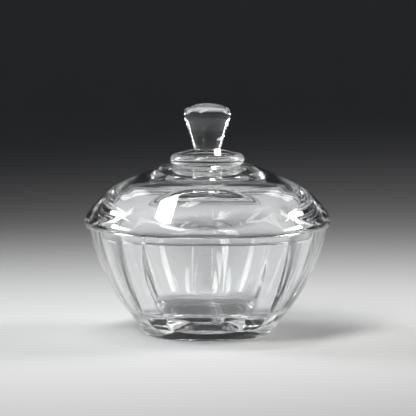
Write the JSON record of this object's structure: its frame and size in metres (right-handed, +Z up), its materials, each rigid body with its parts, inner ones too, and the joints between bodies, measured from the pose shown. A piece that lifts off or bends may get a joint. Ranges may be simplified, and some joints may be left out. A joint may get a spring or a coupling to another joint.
{
  "type": "lidded candy bowl",
  "caption": "Footed candy bowl in clear pressed glass with five broad panels, a domed lift-off lid, a collar disc and a flared finger knob.",
  "frame": {"origin": "centre of the foot's contact ring, on the surface the bowl stands on", "axes": "+Z up along the axis of bowl and lid, -Y towards the middle of one broad panel, +X to that panel's right"},
  "size_m": [0.155, 0.155, 0.1457],
  "materials": {
    "clear_glass": "clear, fire-polished",
    "clear_bond": "clear cured adhesive film"
  },
  "bodies": {
    "bowl": {"bowl": "clear_glass"},
    "lid": {"lid": "clear_glass", "collar_bond": "clear_bond", "collar": "clear_glass", "knob_bond": "clear_bond", "knob": "clear_glass"}
  },
  "joints": [
    {"name": "lid_lift", "type": "slide", "parent": "bowl", "child": "lid", "axis": [0, 0, 1], "range_m": [0, 0.12]}
  ]
}
